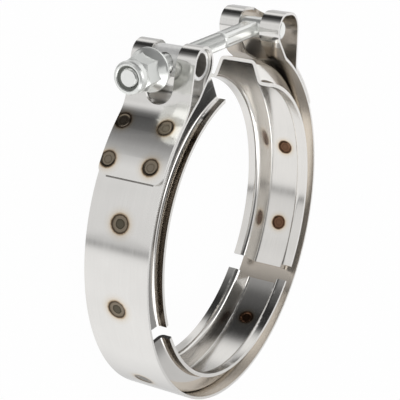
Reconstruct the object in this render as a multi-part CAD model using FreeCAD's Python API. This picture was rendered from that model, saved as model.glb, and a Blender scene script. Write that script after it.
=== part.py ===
import FreeCAD, Part
import math
import os
from FreeCAD import Vector as V

os.makedirs("parts", exist_ok=True)

# ---------------------------------------------------------------------------
# V band clamp. Millimetres. Origin at the ring's centre, Z along the ring's
# axis, Y towards the T-bolt closure, X along the bolt from the nut to the head.
# ---------------------------------------------------------------------------

# Strap: one strip of stainless sheet, looped back on itself at both ends.
BAND_R = 80.0            # outer radius of the strap round the retainers
BAND_W = 30.0            # width of the strip
BAND_T = 1.2             # thickness of the strip
LAP_GAP = 0.1            # between a folded-back tab and the strap under it

# Closure: both loops and the bolt between them.
BOLT_RISE = 2.05         # the bolt's axis over the top of the strap's circle
TUBE_X = -37.1           # trunnion tube, in the loop on the nut's side
TUBE_R = 6.5
TUBE_WALL = 1.75
TUBE_L = 27.0
LOOP_FIT = 0.1           # round the tube in its loop
HEAD_LOOP_X = 38.7       # the loop that holds the T-head
HEAD_FAR_X = 42.6        # its second, wider bend: place, drop below the bolt, mid radius
HEAD_FAR_DROP = 2.45
HEAD_FAR_R = 9.2

LEAVE_X = 45.67          # centres of the bends where the strap leaves its circle, both sides
LEAVE_R = 8.0
LAND_NUT_X = -63.0       # centres of the bends where the folded-back ends land on it again
LAND_NUT_R = 16.0
LAND_HEAD_X = 55.0
LAND_HEAD_R = 3.0
TAB_END_NUT = 150.0      # the free edges of the two tabs, degrees
TAB_END_HEAD = 28.0
TAB_CORNER = 3.5

NUT_SLOT_W = 13.0        # slot that lets the bolt through the nut-side loop
NUT_SLOT_OUT_DROP = 15.65   # its ends below the bolt's axis, in the outer and inner layer
NUT_SLOT_IN_DROP = 10.55
NUT_SLOT_CORNER = 6.2
HEAD_SLOT_W = 10.8       # slot that lets the neck out of the head's loop
HEAD_SLOT_DROP = 17.25   # its lower end, in the inner layer
HEAD_SLOT_OUT_X = 50.2   # its other end, over the top
HEAD_SLOT_CORNER = 4.2

# V retainers: three bent channels, spot-welded inside the strap.
RET_T = 1.6
GROOVE_DEPTH = 10.8      # from the back of the channel to the inside of its lips
LIP_Z = 15.9             # half of the width over the lips
ROOT_Z = 6.6             # centre of the corner bend, from the mid-plane
FLANK_LEAN = 20.0        # degrees off square
CORNER_BEND = 2.0        # bend radii of the sheet's middle
LIP_BEND = 2.2

# Spot welds: angle, distance from the mid-plane, radius of the electrode's mark.
DIMPLE = 0.28
TAB_WELD_R = 3.3
TAB_WELD_Z = (-11.8, 8.2)
TAB_WELD_A = (133.0, 145.4)
LINE_WELD_R = 3.9
LINE_WELDS = (162.8, 189.4, 223.6, 261.0, 300.8, 340.1, 369.9)

# Each channel follows the strap between two angles. Past its last weld a
# closure end stands off the strap on a tighter arc, whose centre lies spring
# from the ring's, and is cut across, square to the bolt, at cut_x.
RETAINERS = {
    "retainer_nut_side": (LINE_WELDS[0], 199.0),
    "retainer_far_side": (204.9, 317.1),
    "retainer_head_side": (323.6, LINE_WELDS[-1]),
}
SPRUNG = {                # angle where it starts, spring, cut_x
    "retainer_nut_side": (LINE_WELDS[0], 6.0, -19.5),
    "retainer_head_side": (LINE_WELDS[-1], 8.0, 21.4),
}

# T-bolt: M8, cross head, flattened neck, thread up to the neck.
BOLT_R = 3.9
BOLT_END_X = -70.4
BOLT_END_R = 3.3
NECK_X = 5.6
NECK_W = 6.6
HEAD_R = 4.7
HEAD_HALF = 14.2
HEAD_FIT = 0.06

# Flanged lock nut with a collar rolled over a nylon ring.
NUT_FACE_X = -53.8
NUT_H = 17.0
NUT_AF = 13.0
FLANGE_R = 9.1
FLANGE_RIM = 1.5
FLANGE_CONE = 4.6        # height at which the cone meets the hexagon
HEX_TOP = 10.9
COLLAR_BASE = 13.0
COLLAR_R = 6.8
COLLAR_MOUTH = 4.95
THREAD_FIT = 0.08
RING_H = 3.2
RING_DEPTH = 0.7         # ring below the collar's rolled edge


def unit(deg):
    a = math.radians(deg)
    return V(math.cos(a), math.sin(a), 0)


def left_of(deg):
    return unit(deg + 90)


def polar(r, deg):
    return unit(deg) * r


def strip(course, thickness, first=None, last=None):
    """Section of a bent strip.

    The strip's middle runs as a belt over the circles of course, each given as
    centre and radius, positive where the centre lies on the left of the way
    along. A radius of 0 is a free end. first and last are the headings at a
    free end that lies on an arc.
    """
    heads = []
    for (ca, ra), (cb, rb) in zip(course, course[1:]):
        d = cb - ca
        lean = (rb - ra) / d.Length
        if abs(lean) > 1 - 1e-9:              # circles that touch
            lean = math.copysign(1, lean)
        heads.append(math.degrees(math.atan2(d.y, d.x)) - math.degrees(math.asin(lean)))

    def side(k):
        edges, last_point = [], None
        for i, (c, r) in enumerate(course):
            h_in = heads[i - 1] if i else first
            h_out = heads[i] if i < len(heads) else last
            if r == 0:
                h = h_out if i == 0 else h_in
                points = [c + left_of(h) * k]
            else:
                turn = (h_out - h_in) % 360 if r > 0 else -((h_in - h_out) % 360)
                if abs(abs(turn) - 360) < 1e-6:
                    turn = 0.0
                points = [c - left_of(h_in + turn * f) * (r - k) for f in (0, 0.5, 1)]
            if last_point is not None and (points[0] - last_point).Length > 1e-5:
                edges.append(Part.makeLine(last_point, points[0]))
            if len(points) == 3 and (points[0] - points[2]).Length > 1e-6:
                edges.append(Part.Arc(*points).toShape())
            last_point = points[-1]
        return edges

    a, b = side(thickness / 2), side(-thickness / 2)
    caps = [Part.makeLine(a[i].valueAt(a[i].FirstParameter if i == 0 else a[i].LastParameter),
                          b[i].valueAt(b[i].FirstParameter if i == 0 else b[i].LastParameter))
            for i in (0, -1)]
    return Part.Face(Part.Wire(Part.__sortEdges__(a + b + caps)))


def turned(points, spin=None, base=V(0, 0, 0), axis=V(1, 0, 0)):
    """Solid of revolution round X of a closed outline given as (along, radius)."""
    wire = Part.makePolygon([V(x, r, 0) for x, r in points] + [V(points[0][0], points[0][1], 0)])
    return Part.Face(wire).revolve(base, axis, 360)


def slot_tool(width, length, depth, corner):
    """Bar with rounded edges: width along Z, length along Y from 0, depth along X."""
    bar = Part.makeBox(depth, length, width, V(0, 0, -width / 2))
    edges = [e for e in bar.Edges if abs(e.tangentAt(e.FirstParameter).x) > 0.99 and e.BoundBox.YMax < 0.01]
    return bar.makeFillet(corner, edges)


# --- strap -----------------------------------------------------------------
O = V(0, 0, 0)
mid = BAND_R - BAND_T / 2
lap = BAND_R + LAP_GAP + BAND_T / 2
loop = TUBE_R + LOOP_FIT + BAND_T / 2
bolt_y = BAND_R + BOLT_RISE
tube_axis = V(TUBE_X, bolt_y, 0)
head_loop = V(HEAD_LOOP_X, bolt_y, 0)
far_bend = V(HEAD_FAR_X, bolt_y - HEAD_FAR_DROP, 0)


def at_x(x, r):
    """Point at x on the upper half of the circle of radius r."""
    return V(x, math.sqrt(r * r - x * x), 0)


course = [
    (O, -lap),
    (at_x(LAND_NUT_X, lap + LAND_NUT_R), LAND_NUT_R),
    (tube_axis, -loop),
    (at_x(-LEAVE_X, mid + LEAVE_R), -LEAVE_R),
    (O, mid),
    (at_x(LEAVE_X, mid + LEAVE_R), -LEAVE_R),
    (head_loop, -loop),
    (far_bend, -HEAD_FAR_R),
    (at_x(LAND_HEAD_X, lap + LAND_HEAD_R), LAND_HEAD_R),
    (O, -lap),
]
quarter = 90.0
section = strip(course, BAND_T, TAB_END_NUT - quarter, TAB_END_HEAD - quarter)
section.translate(V(0, 0, -BAND_W / 2))
strap = section.extrude(V(0, 0, BAND_W))

corners = []
for e in strap.Edges:
    m = e.CenterOfMass
    a = math.degrees(math.atan2(m.y, m.x))
    at_end = min(abs(a - TAB_END_NUT), abs(a - TAB_END_HEAD)) < 0.01
    if at_end and abs(abs(m.z) - BAND_W / 2) < 0.01 and m.Length > BAND_R:
        corners.append(e)
strap = strap.makeFillet(TAB_CORNER, corners)

# The slots. Nut side: one end in the outer layer, one in the inner layer, open
# between them over the tube. Head side: from the inner layer over the top.
reach = BAND_W
split_x = TUBE_X - TUBE_R - LOOP_FIT - BAND_T * 0.75
outer_slot = slot_tool(NUT_SLOT_W, reach, reach, NUT_SLOT_CORNER)
outer_slot.translate(V(split_x - reach, bolt_y - NUT_SLOT_OUT_DROP, 0))
inner_slot = slot_tool(NUT_SLOT_W, reach, reach, NUT_SLOT_CORNER)
inner_slot.translate(V(split_x + BAND_T / 2, bolt_y - NUT_SLOT_IN_DROP, 0))
over_tube = Part.makeBox(reach, reach, NUT_SLOT_W,
                         V(TUBE_X - reach, bolt_y - loop - BAND_T, -NUT_SLOT_W / 2))
head_top = HEAD_SLOT_DROP - HEAD_FAR_DROP + HEAD_FAR_R / 4
head_slot = slot_tool(HEAD_SLOT_W, head_top, reach, HEAD_SLOT_CORNER)
head_slot.translate(V(HEAD_SLOT_OUT_X - reach, bolt_y - HEAD_SLOT_DROP, 0))
top_slot = slot_tool(HEAD_SLOT_W, reach, reach, HEAD_SLOT_CORNER)
top_slot.rotate(O, V(0, 0, 1), quarter)
top_slot.translate(V(HEAD_SLOT_OUT_X, far_bend.y + HEAD_FAR_R / 4, 0))
strap = strap.cut(outer_slot.fuse([inner_slot, over_tube, head_slot, top_slot]))


def weld_mark(r_mark, surface_r, deg, z, inward):
    """Tapered disc that an electrode leaves, pressed from outside (inward) or inside."""
    way = -1 if inward else 1
    floor_at = polar(surface_r + way * DIMPLE, deg) + V(0, 0, z)
    return Part.makeCone(r_mark * 0.75, r_mark * 1.25, DIMPLE * 2, floor_at, unit(deg) * -way)


def press(solid, marks):
    for m in marks:
        solid = solid.cut(m)
    return solid


lap_r = BAND_R + LAP_GAP + BAND_T
tab_angles = TAB_WELD_A + tuple(180 - a for a in TAB_WELD_A)
nuggets = []
for a in tab_angles:
    for z in TAB_WELD_Z:
        nugget = Part.makeCylinder(TAB_WELD_R * 0.8, LAP_GAP + 0.8, polar(BAND_R - 0.4, a) + V(0, 0, z), unit(a))
        nuggets.append(nugget)
strap = strap.fuse(nuggets)
strap = press(strap, [weld_mark(TAB_WELD_R, lap_r, a, z, True) for a in tab_angles for z in TAB_WELD_Z])
strap = press(strap, [weld_mark(LINE_WELD_R, BAND_R, a, 0, True) for a in LINE_WELDS])
strap = strap.removeSplitter()

# --- retainers ---------------------------------------------------------------
# Section in the (z, r) plane from one lip's edge over the root to the other.
back = BAND_R - BAND_T
lip = back - GROOVE_DEPTH + RET_T / 2
root = back - RET_T / 2
lean = math.radians(FLANK_LEAN)
corner = V(ROOT_Z, root - CORNER_BEND, 0)
rise = corner.y - (lip + LIP_BEND)
lip_z = ROOT_Z + (CORNER_BEND + LIP_BEND + rise * math.sin(lean)) / math.cos(lean)
half = [(V(LIP_Z, lip, 0), 0), (V(lip_z, lip + LIP_BEND, 0), -LIP_BEND), (corner, CORNER_BEND)]
channel = half + [(V(-c.x, c.y, 0), r) for c, r in reversed(half)]
profile = strip(channel, RET_T)
profile.rotate(O, V(0, 0, 1), -quarter)   # (z, r) -> (r, -z)
profile.rotate(O, V(1, 0, 0), quarter)    # stand it up along Z

retainers = {}
for name, (start, stop) in RETAINERS.items():
    face = profile.copy()
    face.rotate(O, V(0, 0, 1), start)
    ring = face.revolve(O, V(0, 0, 1), stop - start)
    if name in SPRUNG:
        weld_at, spring, cut_x = SPRUNG[name]
        way = math.copysign(1, cut_x)
        face = profile.copy()
        face.rotate(O, V(0, 0, 1), weld_at)
        free = face.revolve(polar(spring, weld_at), V(0, 0, way), quarter)
        side = Part.makeBox(BAND_R, 2 * BAND_R, 2 * BAND_W, V(0, -BAND_R, -BAND_W))
        side.translate(V(cut_x if way > 0 else cut_x - BAND_R, 0, 0))
        ring = ring.fuse(free.common(side)).removeSplitter()
    marks = [weld_mark(LINE_WELD_R * 0.8, root - RET_T / 2, a, 0, False)
             for a in LINE_WELDS if start <= a <= stop]
    retainers[name] = press(ring, marks)

# --- trunnion tube -----------------------------------------------------------
tube = Part.makeCylinder(TUBE_R, TUBE_L, tube_axis - V(0, 0, TUBE_L / 2), V(0, 0, 1))
tube = tube.cut(Part.makeCylinder(TUBE_R - TUBE_WALL, TUBE_L, tube_axis - V(0, 0, TUBE_L / 2), V(0, 0, 1)))
tube = tube.makeChamfer(0.3, [e for e in tube.Edges if len(e.Vertexes) == 1])
cross = Part.makeCylinder(BOLT_R + 0.55, 4 * TUBE_R, tube_axis - V(2 * TUBE_R, 0, 0), V(1, 0, 0))
tube = tube.cut(cross)

# --- T-bolt ------------------------------------------------------------------
head_x = HEAD_LOOP_X - (loop - BAND_T / 2 - HEAD_R - HEAD_FIT)
step = BOLT_R - BOLT_END_R
shank = turned([(BOLT_END_X, 0), (BOLT_END_X, BOLT_END_R), (BOLT_END_X + step, BOLT_R),
                (NECK_X - 0.6, BOLT_R), (NECK_X, BOLT_R - 0.6), (NECK_X + 3.0, BOLT_R - 0.9),
                (NECK_X + 3.0, 0)])
neck = Part.makeBox(head_x - NECK_X, NECK_W, NECK_W, V(NECK_X, -NECK_W / 2, -NECK_W / 2))
neck = neck.makeChamfer(0.9, [e for e in neck.Edges if abs(e.tangentAt(e.FirstParameter).x) > 0.99])
head = Part.makeCylinder(HEAD_R, 2 * HEAD_HALF, V(head_x, 0, -HEAD_HALF), V(0, 0, 1))
head = head.makeFillet(2.2, [e for e in head.Edges if len(e.Vertexes) == 1])
t_bolt = shank.fuse([neck, head]).removeSplitter()
t_bolt.translate(V(0, bolt_y, 0))

# --- lock nut and its ring -----------------------------------------------------
hex_r = NUT_AF / 2 / math.cos(math.radians(30))
bore = BOLT_R + THREAD_FIT
ring_floor = NUT_H - RING_DEPTH - RING_H
ring_r = COLLAR_R - 1.1
hexagon = Part.Face(Part.makePolygon([V(0, hex_r * math.cos(math.radians(60 * k + 12)),
                                        hex_r * math.sin(math.radians(60 * k + 12))) for k in range(7)]))
prism = hexagon.extrude(V(HEX_TOP + 1.2, 0, 0))
chamfer = turned([(0, 0), (0, hex_r + 1), (HEX_TOP - 0.4, hex_r + 1), (HEX_TOP + 1.2, NUT_AF / 2 - 0.25),
                  (HEX_TOP + 1.2, 0)])
flange = turned([(0, 0), (0, FLANGE_R - 0.4), (0.4, FLANGE_R), (FLANGE_RIM, FLANGE_R),
                 (FLANGE_RIM + 0.5, FLANGE_R - 0.5), (FLANGE_CONE, NUT_AF / 2 + 0.1), (FLANGE_CONE, 0)])
collar = turned([(HEX_TOP, 0), (HEX_TOP, COLLAR_R - 0.5), (COLLAR_BASE, COLLAR_R - 0.15), (NUT_H - 1.3, COLLAR_R),
                 (NUT_H - 0.5, COLLAR_R - 0.35), (NUT_H, COLLAR_R - 1.05), (NUT_H, 0)])
seat = turned([(ring_floor, 0), (ring_floor, ring_r), (NUT_H - RING_DEPTH, ring_r),
               (NUT_H - RING_DEPTH, COLLAR_MOUTH), (NUT_H - 0.3, COLLAR_MOUTH), (NUT_H + 1, COLLAR_MOUTH + 1.3),
               (NUT_H + 1, 0)])
hole = turned([(-1, 0), (-1, bore + 1.7), (0.7, bore), (ring_floor + 1, bore), (ring_floor + 1, 0)])
nut = prism.common(chamfer).fuse([flange, collar]).cut(seat.fuse(hole)).removeSplitter()
ring = turned([(ring_floor, bore - 0.04), (ring_floor, ring_r), (NUT_H - RING_DEPTH, ring_r),
               (NUT_H - RING_DEPTH - 0.5, bore - 0.04)])
for s in (nut, ring):
    s.rotate(O, V(0, 0, 1), 180)
    s.translate(V(NUT_FACE_X, bolt_y, 0))

# --- write -------------------------------------------------------------------
parts = {"strap": strap, "trunnion_tube": tube, "t_bolt": t_bolt, "lock_nut": nut, "nylon_ring": ring}
parts.update(retainers)
for name, shape in parts.items():
    solids = shape.Solids
    solid = solids[0] if len(solids) == 1 else Part.makeCompound(solids)
    b = solid.BoundBox
    print(name, len(solids), solid.isValid(), "vol %.0f" % solid.Volume,
          "x %.1f %.1f y %.1f %.1f z %.1f %.1f" % (b.XMin, b.XMax, b.YMin, b.YMax, b.ZMin, b.ZMax))
    solid.exportStep("parts/" + name + ".step")
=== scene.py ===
import math

import bmesh
import bpy
from mathutils import Matrix, Vector


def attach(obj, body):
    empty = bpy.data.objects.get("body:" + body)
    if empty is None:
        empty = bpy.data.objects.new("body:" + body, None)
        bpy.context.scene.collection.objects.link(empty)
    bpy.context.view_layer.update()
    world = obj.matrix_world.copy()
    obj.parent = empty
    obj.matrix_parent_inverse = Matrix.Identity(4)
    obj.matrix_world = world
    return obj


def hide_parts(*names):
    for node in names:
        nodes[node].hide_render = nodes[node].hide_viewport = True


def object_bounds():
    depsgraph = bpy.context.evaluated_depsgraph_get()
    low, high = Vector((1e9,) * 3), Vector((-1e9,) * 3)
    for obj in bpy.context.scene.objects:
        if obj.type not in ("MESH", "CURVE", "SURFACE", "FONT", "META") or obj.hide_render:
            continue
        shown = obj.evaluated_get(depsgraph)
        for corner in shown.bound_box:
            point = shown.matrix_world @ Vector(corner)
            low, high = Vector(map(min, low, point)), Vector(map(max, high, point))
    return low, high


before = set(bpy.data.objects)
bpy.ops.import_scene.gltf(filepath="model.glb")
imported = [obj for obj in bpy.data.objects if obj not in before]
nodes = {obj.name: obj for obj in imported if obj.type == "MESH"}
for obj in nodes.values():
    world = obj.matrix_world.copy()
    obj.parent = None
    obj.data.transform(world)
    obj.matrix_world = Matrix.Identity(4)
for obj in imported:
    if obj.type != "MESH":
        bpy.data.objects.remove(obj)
cad_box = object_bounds()

# --- Strap -------------------------------------------------------------------
# One strip of bright rolled stainless, 30 mm wide and 1.2 mm thick, bent to the
# ring and looped at both ends. The folded-back tabs are spot-welded to it, and
# so are the retainers inside: each weld leaves a brown disc with a straw halo.

# Sizes in metres, and angles in degrees round the ring.
STRAP_R = 0.080
TAB_R = 0.0813
LOOP_Y, LOOP_R = 0.08205, 0.0086
NUT_LOOP_X, HEAD_LOOP_X = -0.0371, 0.0387
TAB_WELDS = [(a, z) for a in (133.0, 145.4, 34.6, 47.0) for z in (-0.0118, 0.0082)]
LINE_WELDS = (162.8, 189.4, 223.6, 261.0, 300.8, 340.1, 369.9)
TAB_WELD_R, LINE_WELD_R = 0.0035, 0.0039
# Angles of the painted shadow lines on the strap beside the tabs' free ends.
TAB_END_SHADOWS = ((150.0, 150.4), (27.6, 28.0))
TAB_END_HALF = 0.0112
HALF_SHEET, SAME_FACE = 0.0006, 0.0002
LIP_START_Z, LIP_START_R = 0.0134, 0.0708
# How squarely a face must look away from the axis, or at it, times its distance from it.
FACING = 0.012


def give(tree, value, socket):
    """Give a socket its value: another socket, a number or a colour."""
    if isinstance(value, bpy.types.NodeSocket):
        tree.links.new(value, socket)
    elif isinstance(value, tuple) and socket.type == "RGBA":
        socket.default_value = (*value, 1)
    else:
        socket.default_value = value


def calc(tree, operation, *values, clamp=False):
    """Result of a Math node. Each value is a number or a socket."""
    node = tree.nodes.new("ShaderNodeMath")
    node.operation, node.use_clamp = operation, clamp
    for value, socket in zip(values, node.inputs):
        give(tree, value, socket)
    return node.outputs[0]


def tinted(tree, share, colour, tint):
    """A colour multiplied by a tint, as far as share says."""
    node = tree.nodes.new("ShaderNodeMix")
    node.data_type, node.blend_type = "RGBA", "MULTIPLY"
    for value, place in ((share, 0), (colour, 6), (tint, 7)):
        give(tree, value, node.inputs[place])
    return node.outputs[2]


def noise(tree, place, scale, detail):
    """Cloudy values round 0.5, from a Noise texture."""
    node = tree.nodes.new("ShaderNodeTexNoise")
    give(tree, place, node.inputs["Vector"])
    give(tree, scale, node.inputs["Scale"])
    give(tree, detail, node.inputs["Detail"])
    return node.outputs["Fac"]


def split(tree, vector):
    """The x, y and z of a vector."""
    node = tree.nodes.new("ShaderNodeSeparateXYZ")
    give(tree, vector, node.inputs[0])
    return node.outputs[0], node.outputs[1], node.outputs[2]


def flattened(tree, place):
    """A place moved along the ring's axis into the ring's middle plane."""
    node = tree.nodes.new("ShaderNodeVectorMath")
    node.operation = "MULTIPLY"
    give(tree, place, node.inputs[0])
    node.inputs[1].default_value = (1, 1, 0)
    return node.outputs[0]


def distance(tree, place, point=(0, 0, 0)):
    """Distance from a place to a point."""
    node = tree.nodes.new("ShaderNodeVectorMath")
    node.operation = "DISTANCE"
    give(tree, place, node.inputs[0])
    node.inputs[1].default_value = point
    return node.outputs["Value"]


def colour_ramp(tree, share, stops):
    """A colour by share, from stops of (share, colour). The first is at 0, the last at 1."""
    node = tree.nodes.new("ShaderNodeValToRGB")
    give(tree, share, node.inputs[0])
    ends = node.color_ramp.elements
    ends[0].position, ends[0].color = stops[0][0], (*stops[0][1], 1)
    ends[1].position, ends[1].color = stops[-1][0], (*stops[-1][1], 1)
    for at, colour in stops[1:-1]:
        ends.new(at).color = (*colour, 1)
    return node.outputs["Color"]


def new_finish(name, metallic, roughness, base):
    """A material with one Principled shader, its plain values set on the shader."""
    material = bpy.data.materials.new(name)
    material.use_nodes = True
    tree = material.node_tree
    tree.nodes.clear()
    shader = tree.nodes.new("ShaderNodeBsdfPrincipled")
    out = tree.nodes.new("ShaderNodeOutputMaterial")
    tree.links.new(shader.outputs["BSDF"], out.inputs["Surface"])
    give(tree, metallic, shader.inputs["Metallic"])
    give(tree, roughness, shader.inputs["Roughness"])
    give(tree, base, shader.inputs["Base Color"])
    return material, tree, shader


def raised(tree, shader, height, strength, depth):
    """Give a shader fine relief. depth is in metres."""
    bump = tree.nodes.new("ShaderNodeBump")
    give(tree, strength, bump.inputs["Strength"])
    give(tree, depth, bump.inputs["Distance"])
    give(tree, height, bump.inputs["Height"])
    give(tree, bump.outputs["Normal"], shader.inputs["Normal"])


def new_group(name, inputs, outputs):
    """A node group, its two ends, with sockets of (name, type)."""
    group = bpy.data.node_groups.new(name, "ShaderNodeTree")
    for in_out, sockets in (("INPUT", inputs), ("OUTPUT", outputs)):
        for socket, kind in sockets:
            group.interface.new_socket(socket, in_out=in_out, socket_type=kind)
    start, end = group.nodes.new("NodeGroupInput"), group.nodes.new("NodeGroupOutput")
    return group, start.outputs, end.inputs


def placed(tree, group, **values):
    """A node group placed in a material, its inputs given by name."""
    node = tree.nodes.new("ShaderNodeGroup")
    node.node_tree = group
    for socket, value in values.items():
        give(tree, value, node.inputs[socket])
    return node.outputs


def build_rolled_sheet():
    """Skin of rolled sheet: fine lines along the strip, soft stains and a slow ripple.

    Across is where each line lies: it changes quickly across the strip. Tone is
    a grey that varies a little under 1.
    """
    group, start, end = new_group(
        "rolled_sheet",
        (("Across", "NodeSocketVector"), ("Place", "NodeSocketVector"),
         ("Polish", "NodeSocketFloat")),
        (("Tone", "NodeSocketFloat"), ("Roughness", "NodeSocketFloat"),
         ("Height", "NodeSocketFloat")))
    lines = noise(group, start["Across"], 1.0, 4.0)
    stains = noise(group, start["Place"], 55.0, 3.0)
    ripple = noise(group, start["Place"], 38.0, 0.0)

    lined_tone = calc(group, "MULTIPLY_ADD", lines, 0.10, 0.90)
    stained_tone = calc(group, "MULTIPLY_ADD", stains, 0.12, -0.06)
    give(group, calc(group, "ADD", lined_tone, stained_tone), end["Tone"])
    lined_rough = calc(group, "MULTIPLY_ADD", lines, 0.10, -0.05)
    stained_rough = calc(group, "MULTIPLY_ADD", stains, 0.10, -0.05)
    swing = calc(group, "ADD", lined_rough, stained_rough)
    give(group, calc(group, "ADD", swing, start["Polish"], clamp=True), end["Roughness"])
    give(group, calc(group, "MULTIPLY_ADD", ripple, 30.0, lines), end["Height"])
    return group


rolled_sheet = build_rolled_sheet()


def build_weld_heat():
    """Colour of a spot weld, from its centre outwards.

    Share is the distance from the centre over the mark's radius. Core darkens
    the middle, Rust browns the whole mark, and Burn is 1 on the mark.
    """
    group, start, end = new_group(
        "weld_heat",
        (("Share", "NodeSocketFloat"), ("Core", "NodeSocketFloat"), ("Rust", "NodeSocketFloat"),
         ("Place", "NodeSocketVector"), ("Steel", "NodeSocketColor")),
        (("Color", "NodeSocketColor"), ("Burn", "NodeSocketFloat")))
    speckle = noise(group, start["Place"], 900.0, 3.0)
    reach = calc(group, "ADD", start["Share"], calc(group, "MULTIPLY_ADD", speckle, 0.16, -0.08))
    heat = colour_ramp(group, calc(group, "MULTIPLY", reach, 0.5, clamp=True), (
        (0.00, (0.27, 0.235, 0.19)), (0.19, (0.26, 0.225, 0.18)), (0.235, (0.15, 0.122, 0.09)),
        (0.28, (0.29, 0.25, 0.20)), (0.40, (0.28, 0.235, 0.18)), (0.455, (0.085, 0.064, 0.046)),
        (0.50, (0.11, 0.08, 0.055)), (0.545, (0.58, 0.46, 0.33)), (0.62, (0.93, 0.86, 0.77)),
        (0.78, (0.98, 0.96, 0.93)), (1.00, (1, 1, 1))))
    colour = tinted(group, 1.0, start["Steel"], heat)
    middle = calc(group, "MULTIPLY", calc(group, "LESS_THAN", reach, 0.55), start["Core"])
    colour = tinted(group, middle, colour, (0.50, 0.52, 0.50))
    inside = calc(group, "SUBTRACT", 1.12, start["Share"], clamp=True)
    burn = calc(group, "MULTIPLY", inside, 6.0, clamp=True)
    rusty = calc(group, "MULTIPLY", burn, start["Rust"])
    give(group, tinted(group, rusty, colour, (0.74, 0.48, 0.38)), end["Color"])
    give(group, burn, end["Burn"])
    return group


weld_heat = build_weld_heat()


def on_ring(radius, degrees, z=0.0):
    """The place at a radius and an angle round the ring."""
    a = math.radians(degrees)
    return (radius * math.cos(a), radius * math.sin(a), z)


def nearest_of(tree, place, centres):
    """Distance from a place to the nearest of the centres."""
    gaps = [distance(tree, place, centre) for centre in centres]
    nearest = gaps[0]
    for gap in gaps[1:]:
        nearest = calc(tree, "MINIMUM", nearest, gap)
    return nearest


def weld_share(tree, place, radius, rows):
    """Distance to the nearest weld over its mark's radius, and 1 where it is of the last row.

    A mark lies on one face of the sheet only, at the row's face_r.
    """
    share, last_row = None, 0.0
    for face_r, mark_r, centres in rows:
        off = calc(tree, "ABSOLUTE", calc(tree, "SUBTRACT", radius, face_r))
        other_face = calc(tree, "GREATER_THAN", off, HALF_SHEET)
        away = calc(tree, "MULTIPLY_ADD", nearest_of(tree, place, centres), 1 / mark_r,
                    calc(tree, "MULTIPLY", other_face, 9.0))
        if share is None:
            share = away
        else:
            last_row = calc(tree, "LESS_THAN", away, share)
            share = calc(tree, "MINIMUM", share, away)
    return share, last_row


def beside_tab_ends(tree, radius, turn, z, gaps):
    """1 on the strap in the narrow gaps beside the free edges of the folded-back tabs, where a
    painted shadow line goes.
    """
    off = calc(tree, "ABSOLUTE", calc(tree, "SUBTRACT", radius, STRAP_R))
    on_strap = calc(tree, "LESS_THAN", off, SAME_FACE)
    straight = calc(tree, "LESS_THAN", calc(tree, "ABSOLUTE", z), TAB_END_HALF)
    on_strap = calc(tree, "MULTIPLY", on_strap, straight)
    degrees = calc(tree, "MULTIPLY", turn, 180 / math.pi)
    found = 0.0
    for low, high in gaps:
        gap = calc(tree, "MULTIPLY", calc(tree, "GREATER_THAN", degrees, low),
                   calc(tree, "LESS_THAN", degrees, high))
        found = calc(tree, "MAXIMUM", calc(tree, "MULTIPLY", gap, on_strap), found)
    return found


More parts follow.
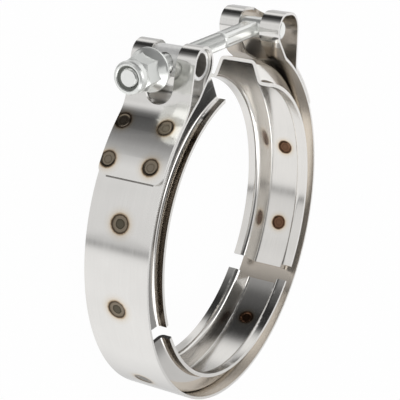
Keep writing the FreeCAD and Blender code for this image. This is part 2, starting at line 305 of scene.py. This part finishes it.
def sheet_steel(name, polish, base, welds, drawn=False, inner_shade=None, inner_dull=0.02,
                lip_back_shade=None, tab_end_shadows=(), rust=0.0):
    """Bright rolled stainless with its weld marks.

    welds holds (radius of the face they lie on, radius of a mark, centres). The
    lines run round the ring where the sheet was drawn through rollers. inner_shade
    tints with painted shade the faces that look at the ring's axis, which are duller
    by inner_dull. lip_back_shade tints the backs of the lips, which lie in a narrow
    hollow, with painted shade. tab_end_shadows holds the angles of painted shadow
    lines beside the tabs' free ends. rust browns the weld marks.
    """
    material, tree, shader = new_finish(name, 1.0, polish, base)
    where = tree.nodes.new("ShaderNodeTexCoord")
    place = where.outputs["Object"]
    x, y, z = split(tree, place)
    flat = flattened(tree, place)
    radius = distance(tree, flat)
    turn = calc(tree, "ARCTAN2", y, x)

    across = tree.nodes.new("ShaderNodeCombineXYZ")
    line_places = ((radius, 2600.0), (turn, 5.0)) if drawn else ((x, 45.0), (y, 45.0))
    for (value, scale), socket in zip((*line_places, (z, 2600.0)), across.inputs):
        give(tree, calc(tree, "MULTIPLY", value, scale), socket)
    skin = placed(tree, rolled_sheet, Across=across.outputs[0], Place=place, Polish=polish)
    colour = tinted(tree, 1.0, base, skin["Tone"])

    face_x, face_y, face_z = split(tree, where.outputs["Normal"])
    outwards = calc(tree, "MULTIPLY_ADD", face_y, y, calc(tree, "MULTIPLY", face_x, x))
    on_loop = 0.0
    for loop_x in (NUT_LOOP_X, HEAD_LOOP_X):
        near = calc(tree, "LESS_THAN", distance(tree, flat, (loop_x, LOOP_Y, 0)), LOOP_R)
        on_loop = calc(tree, "MAXIMUM", near, on_loop)
    facing_in = calc(tree, "LESS_THAN", outwards, -FACING)
    facing_in = calc(tree, "SUBTRACT", facing_in, on_loop, clamp=True)
    # Painted shade: the faces that look at the ring's axis are tinted darker.
    if inner_shade:
        colour = tinted(tree, facing_in, colour, inner_shade)
    # Painted shade: the backs of the lips, deep in the hollow by the strap, are tinted dark.
    if lip_back_shade:
        facing_out = calc(tree, "GREATER_THAN", outwards, FACING)
        at_side = calc(tree, "GREATER_THAN", calc(tree, "ABSOLUTE", z), LIP_START_Z)
        below_flanks = calc(tree, "LESS_THAN", radius, LIP_START_R)
        crevice_shade = calc(tree, "MULTIPLY", calc(tree, "MULTIPLY", facing_out, at_side), below_flanks)
        colour = tinted(tree, crevice_shade, colour, lip_back_shade)
    # Painted shadow: a thin dark line on the strap beside each tab's free end.
    if tab_end_shadows:
        gap = beside_tab_ends(tree, radius, turn, z, tab_end_shadows)
        colour = tinted(tree, calc(tree, "MULTIPLY", gap, 0.8), colour, (0.12, 0.11, 0.10))

    share, last_row = weld_share(tree, place, radius, welds)
    heat = placed(tree, weld_heat, Share=share, Core=last_row, Rust=rust, Place=place, Steel=colour)
    give(tree, heat["Color"], shader.inputs["Base Color"])

    # Sheared edges face along the ring's axis and are duller than the rolled faces.
    sheared = calc(tree, "GREATER_THAN", calc(tree, "ABSOLUTE", face_z), 0.97)
    rough = calc(tree, "MULTIPLY_ADD", sheared, 0.14, skin["Roughness"])
    rough = calc(tree, "MULTIPLY_ADD", facing_in, inner_dull, rough)
    give(tree, calc(tree, "MULTIPLY_ADD", heat["Burn"], 0.07, rough), shader.inputs["Roughness"])
    raised(tree, shader, skin["Height"], 0.35, 0.000004)
    return material


def finish(node_name, material):
    """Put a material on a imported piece."""
    slots = nodes[node_name].data.materials
    slots.clear()
    slots.append(material)


# The strap gets painted shade on the faces that look at the ring's axis, and a painted shadow line
# beside each tab's free end.
strap_steel = sheet_steel(
    "strap_steel", 0.13, (0.88, 0.865, 0.84),
    [(TAB_R, TAB_WELD_R, [on_ring(TAB_R, a, z) for a, z in TAB_WELDS]),
     (STRAP_R, LINE_WELD_R, [on_ring(STRAP_R, a) for a in LINE_WELDS])],
    inner_shade=(0.70, 0.65, 0.59), inner_dull=0.10, tab_end_shadows=TAB_END_SHADOWS)
finish("strap", strap_steel)

# --- Retainers ---------------------------------------------------------------
# Three V retainers, channels roll-formed from 1.6 mm stainless sheet with
# turned-in lips. Each is held inside the strap by a row of spot welds.
RETAINER_FLOOR_R = 0.0772
RETAINER_WELD_R = 0.0033
# The backs of the retainers' lips get painted shade.
retainer_steel = sheet_steel(
    "retainer_steel", 0.12, (0.87, 0.85, 0.82),
    [(RETAINER_FLOOR_R, RETAINER_WELD_R, [on_ring(RETAINER_FLOOR_R, a) for a in LINE_WELDS])],
    drawn=True, lip_back_shade=(0.22, 0.20, 0.18), rust=1.0)
for name in ("retainer_nut_side", "retainer_far_side", "retainer_head_side"):
    finish(name, retainer_steel)

# --- Trunnion tube -----------------------------------------------------------
# A short length of plain steel tube, cut off square and drilled across for the
# bolt. It lies in the loop on the nut's side and lets the bolt tilt.
TUBE_BORE_R = 0.0049


def build_dull_metal():
    """Fine mottling of plated or plain steel that was never polished.

    Grain is how fine it is, and Depth how far the Tone swings.
    """
    group, start, end = new_group(
        "dull_metal",
        (("Place", "NodeSocketVector"), ("Grain", "NodeSocketFloat"),
         ("Depth", "NodeSocketFloat"), ("Polish", "NodeSocketFloat")),
        (("Tone", "NodeSocketFloat"), ("Roughness", "NodeSocketFloat"),
         ("Height", "NodeSocketFloat")))
    spots = noise(group, start["Place"], start["Grain"], 1.0)
    centred = calc(group, "SUBTRACT", spots, 0.5)
    give(group, calc(group, "MULTIPLY_ADD", centred, start["Depth"], 0.96), end["Tone"])
    give(group, calc(group, "MULTIPLY_ADD", centred, 0.12, start["Polish"]), end["Roughness"])
    give(group, spots, end["Height"])
    return group


dull_metal = build_dull_metal()


def plain_metal(name, metallic, base, polish, grain, depth, relief, bore_r=None):
    """Steel that is matt from its plating or its drawing, metallic for how much it mirrors.

    Inside bore_r of the tube's axis it is darker.
    """
    material, tree, shader = new_finish(name, metallic, polish, base)
    place = tree.nodes.new("ShaderNodeTexCoord").outputs["Object"]
    skin = placed(tree, dull_metal, Place=place, Grain=grain, Depth=depth, Polish=polish)
    colour = tinted(tree, 1.0, base, skin["Tone"])
    if bore_r:
        off = distance(tree, flattened(tree, place), (NUT_LOOP_X, LOOP_Y, 0))
        colour = tinted(tree, calc(tree, "LESS_THAN", off, bore_r), colour, (0.30, 0.28, 0.26))
    give(tree, colour, shader.inputs["Base Color"])
    give(tree, skin["Roughness"], shader.inputs["Roughness"])
    raised(tree, shader, skin["Height"], 0.5, relief)
    return material


tube_steel = plain_metal(
    "trunnion_steel", 0.35, (0.96, 0.955, 0.935), 0.34, 700.0, 0.25, 0.000008, bore_r=TUBE_BORE_R)
finish("trunnion_tube", tube_steel)

# --- T-bolt ------------------------------------------------------------------
# Cold-headed M8 bolt with a round cross head and a squared neck, rolled thread
# from the tip up to the neck, white zinc plated.

# Sizes in millimetres.
MM = 0.001
BOLT_Y = 82.05
THREAD_CREST, THREAD_DEPTH, THREAD_PITCH = 3.9, 0.62, 1.25
STEPS_A_TURN = 9
TIP_X, TIP_R, TIP_SLOPE = -70.4, 3.3, 0.9
RUN_OUT_X, RUN_OUT_LENGTH, NECK_X, NECK_STEP = 3.4, 2.0, 5.6, 0.6
NECK_HALF, NECK_CHAMFER = 3.3, 0.9
HEAD_X, HEAD_R, HEAD_HALF, HEAD_ROUND = 36.86, 4.7, 14.2, 2.2
HEAD_SIDES, ROUND_STEPS = 56, 8


def thread_radius(x, turn):
    """Distance from the bolt's axis of the rolled thread, which fades out at its end."""
    phase = (x / THREAD_PITCH - turn / (2 * math.pi)) % 1.0
    groove = min(max((abs(phase - 0.5) * 2 - 0.15) / 0.65, 0.0), 1.0)
    fade = min(max((RUN_OUT_X - x) / RUN_OUT_LENGTH, 0.0), 1.0)
    tip = TIP_R + (x - TIP_X) * TIP_SLOPE
    return min(THREAD_CREST - THREAD_DEPTH * groove * fade, tip)


def neck_radius(x, turn):
    """Distance from the axis of the squared neck with its broken corners."""
    a = abs((turn + math.pi / 4) % (math.pi / 2) - math.pi / 4)
    flat = NECK_HALF / math.cos(a)
    broken_corner = (2 * NECK_HALF - NECK_CHAMFER) / (math.cos(a) + math.sin(a))
    return min(flat, broken_corner)


def join_rings(shape, low, high):
    """Faces between two rings of corners, either of which may be a single corner."""
    count = max(len(low), len(high))
    for i in range(count):
        j = (i + 1) % count
        if len(low) == 1:
            shape.faces.new((low[0], high[j], high[i]))
        elif len(high) == 1:
            shape.faces.new((low[i], low[j], high[0]))
        else:
            shape.faces.new((low[i], low[j], high[j], high[i]))


# Directions round the axis, closer together on the neck's flats than at its corners.
corner = math.atan2(NECK_HALF - NECK_CHAMFER, NECK_HALF)
turns = []
for quarter in range(4):
    middle = quarter * math.pi / 2
    turns += [middle - corner + 2 * corner * i / 16 for i in range(16)]
    turns += [middle + corner + (math.pi / 2 - 2 * corner) * i / 4 for i in range(4)]
rows = []
x = TIP_X
while x < NECK_X - NECK_STEP:
    rows.append((x, thread_radius))
    x += THREAD_PITCH / STEPS_A_TURN
rows += [(NECK_X - NECK_STEP, thread_radius), (NECK_X, neck_radius), (HEAD_X, neck_radius)]

shape = bmesh.new()
shank = []
for x, radius_at in rows:
    ring = []
    for turn in turns:
        r = radius_at(x, turn)
        y, z = BOLT_Y + r * math.cos(turn), r * math.sin(turn)
        ring.append(shape.verts.new((x * MM, y * MM, z * MM)))
    shank.append(ring)
for low, high in zip(shank, shank[1:]):
    join_rings(shape, low, high)
shape.faces.new(shank[0])
shape.faces.new(list(reversed(shank[-1])))

# The cross head, a bar with rounded ends along the ring's axis.
outline = [(0.0, -HEAD_HALF)]
for i in range(ROUND_STEPS + 1):
    a = math.pi / 2 * i / ROUND_STEPS
    outline.append((HEAD_R - HEAD_ROUND + HEAD_ROUND * math.sin(a),
                    -HEAD_HALF + HEAD_ROUND - HEAD_ROUND * math.cos(a)))
outline += [(r, -z) for r, z in reversed(outline)]
head = []
for r, z in outline:
    ring = []
    for i in range(HEAD_SIDES if r else 1):
        a = 2 * math.pi * i / HEAD_SIDES
        ring.append(shape.verts.new(((HEAD_X + r * math.cos(a)) * MM,
                                     (BOLT_Y + r * math.sin(a)) * MM, z * MM)))
    head.append(ring)
for low, high in zip(head, head[1:]):
    join_rings(shape, low, high)
bmesh.ops.recalc_face_normals(shape, faces=shape.faces)
mesh = bpy.data.meshes.new("threaded_t_bolt")
shape.to_mesh(mesh)
shape.free()
mesh.shade_smooth()
mesh.set_sharp_from_angle(angle=math.radians(28))
bolt = bpy.data.objects.new("threaded_t_bolt", mesh)
bpy.context.scene.collection.objects.link(bolt)
bolt_zinc = plain_metal("bolt_zinc", 0.65, (0.97, 0.98, 0.95), 0.23, 210.0, 0.06, 0.000001)
mesh.materials.append(bolt_zinc)
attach(bolt, "bolt")
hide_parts("t_bolt")

# --- Lock nut ----------------------------------------------------------------
# Flanged hexagon nut, 13 mm over flats, forged and zinc plated. Its thin collar
# is rolled over a nylon ring that grips the thread.
nut_zinc = plain_metal("nut_zinc", 0.70, (0.93, 0.945, 0.915), 0.23, 230.0, 0.06, 0.000001)
finish("lock_nut", nut_zinc)
nylon, tree, shader = new_finish("nylon", 0.0, 0.40, (0.17, 0.18, 0.16))
place = tree.nodes.new("ShaderNodeTexCoord").outputs["Object"]
clouds = colour_ramp(tree, noise(tree, place, 1500.0, 2.0),
                     ((0, (0.13, 0.14, 0.12)), (1, (0.22, 0.23, 0.20))))
give(tree, clouds, shader.inputs["Base Color"])
finish("nylon_ring", nylon)

# --- Table, light and camera -------------------------------------------------
# The clamp lies on its rims on white paper, in a pale studio with soft lights.
# One side of the room is dark, and steel shows it as dark bands.
TABLE_HALF = 3.0
table_z = cad_box[0].z
mesh = bpy.data.meshes.new("table")
mesh.from_pydata([(-TABLE_HALF, -TABLE_HALF, table_z), (TABLE_HALF, -TABLE_HALF, table_z),
                  (TABLE_HALF, TABLE_HALF, table_z), (-TABLE_HALF, TABLE_HALF, table_z)],
                 [], [(0, 1, 2, 3)])
table = bpy.data.objects.new("table", mesh)
bpy.context.scene.collection.objects.link(table)


def either(tree, share, first, second):
    """A shader that is the second one where share is 1."""
    mix = tree.nodes.new("ShaderNodeMixShader")
    for value, socket in zip((share, first, second), mix.inputs):
        give(tree, value, socket)
    return mix.outputs[0]


def plain_shader(tree, kind, colour):
    """A shader of one colour."""
    node = tree.nodes.new(kind)
    give(tree, colour, node.inputs["Color"])
    return node.outputs[0]


# Metal looks through the paper into the room below it.
paper = bpy.data.materials.new("table_paper")
paper.use_nodes = True
tree = paper.node_tree
tree.nodes.clear()
path = tree.nodes.new("ShaderNodeLightPath").outputs
lit = plain_shader(tree, "ShaderNodeBsdfDiffuse", (0.90, 0.90, 0.90))
white = plain_shader(tree, "ShaderNodeEmission", (1, 1, 1))
seen = either(tree, calc(tree, "MULTIPLY", path["Is Camera Ray"], 0.97), lit, white)
clear = tree.nodes.new("ShaderNodeBsdfTransparent").outputs[0]
out = tree.nodes.new("ShaderNodeOutputMaterial")
give(tree, either(tree, path["Is Glossy Ray"], seen, clear), out.inputs["Surface"])
mesh.materials.append(paper)

# What steel shows of the room: brightness by the compass direction, in degrees
# from the bolt's direction. Each band takes over from the one below it between
# two heights, which run from -1 straight down to 1 straight up.
BELOW = ((-180, .76), (-177.3, .71), (-175.2, .50), (-173.2, .26), (-171.4, .50), (-169.4, .85),
         (-165, .90), (-92, .92), (-83, .86), (-75, .82), (-63, .72), (-51, .62), (-43, .69),
         (-23, .79), (-11, .87), (1, .60), (36, .55), (47, .87), (60, .87), (66, .66), (71, .17),
         (76, .04), (93, .03), (102, .09), (110, .12), (116, .25), (122, .38), (128, .62),
         (136, .82), (148, .75), (157, .78), (180, .76))
LOW = ((-180, .60), (-150, .55), (-125, .70), (-90, .80), (-60, .60), (-40, .60), (-24, .95),
       (13, 1.0), (45, 1.0), (60, .65), (74, .12), (130, .10), (150, .42), (180, .60))
ABOVE = ((-180, .14), (-140, .22), (-100, .40), (-60, .30), (-40, .26), (-20, .14), (0, .05),
         (9, .02), (14, .06), (26, .50), (40, .90), (55, .80), (70, .20), (90, .06), (140, .05),
         (180, .14))
CEILING = ((-180, .78), (180, .78))


def room_band(tree, turn, values):
    """Grey by the compass. turn runs from 0 at -180 to 1 at 180 degrees."""
    return colour_ramp(tree, turn, [((degrees + 180) / 360, (v, v, v)) for degrees, v in values])


world = bpy.data.worlds.new("studio")
bpy.context.scene.world = world
world.use_nodes = True
tree = world.node_tree
tree.nodes.clear()
path = tree.nodes.new("ShaderNodeLightPath").outputs
x, y, z = split(tree, tree.nodes.new("ShaderNodeTexCoord").outputs["Generated"])
turn = calc(tree, "MULTIPLY_ADD", calc(tree, "ARCTAN2", y, x), 1 / (2 * math.pi), 0.5)
room = room_band(tree, turn, BELOW)
for band, low_z, high_z in ((LOW, -0.06, 0.12), (ABOVE, 0.575, 0.635), (CEILING, 0.895, 0.95)):
    height = tree.nodes.new("ShaderNodeMapRange")
    give(tree, z, height.inputs["Value"])
    give(tree, low_z, height.inputs["From Min"])
    give(tree, high_z, height.inputs["From Max"])
    step = tree.nodes.new("ShaderNodeMix")
    step.data_type = "RGBA"
    for value, socket in ((height.outputs["Result"], 0), (room, 6),
                          (room_band(tree, turn, band), 7)):
        give(tree, value, step.inputs[socket])
    room = step.outputs[2]
fill = plain_shader(tree, "ShaderNodeBackground", (0.55, 0.55, 0.56))
shown = plain_shader(tree, "ShaderNodeBackground", room)
for_metal = either(tree, path["Is Glossy Ray"], fill, shown)
white = plain_shader(tree, "ShaderNodeBackground", (1, 1, 1))
out = tree.nodes.new("ShaderNodeOutputWorld")
give(tree, either(tree, path["Is Camera Ray"], for_metal, white), out.inputs["Surface"])


def soft_light(name, place, aim, width, height, brightness):
    """A large soft box. brightness is how white its face looks."""
    light = bpy.data.lights.new(name, "AREA")
    light.shape, light.size, light.size_y = "RECTANGLE", width, height
    light.energy = brightness * math.pi * width * height
    lamp = bpy.data.objects.new(name, light)
    lamp.location = place
    lamp.rotation_mode = "QUATERNION"
    lamp.rotation_quaternion = (Vector(aim) - Vector(place)).to_track_quat("-Z", "Y")
    bpy.context.scene.collection.objects.link(lamp)


soft_light("key_light", (-0.5, -0.9, 1.0), (0, 0, 0), 1.3, 1.3, 1.2)
soft_light("top_light", (0.3, 0.5, 1.5), (0, 0, 0), 1.0, 1.0, 1.1)

stand = Vector((-0.4578, 0.2073, 0.2471))
look = Vector((0.81779, -0.35595, -0.45223)).normalized()
up = Vector((0.30083, 0.93428, -0.19136))
side = look.cross(up).normalized()
up = side.cross(look)
lens = bpy.data.cameras.new("camera")
lens.sensor_width = 36.0
lens.lens = 110.5956
lens.clip_start, lens.clip_end = 0.02, 20
camera = bpy.data.objects.new("camera", lens)
camera.matrix_world = Matrix((
    (side.x, up.x, -look.x, stand.x),
    (side.y, up.y, -look.y, stand.y),
    (side.z, up.z, -look.z, stand.z),
    (0, 0, 0, 1)))
bpy.context.scene.collection.objects.link(camera)
bpy.context.scene.camera = camera
bpy.context.scene.view_settings.view_transform = "Standard"
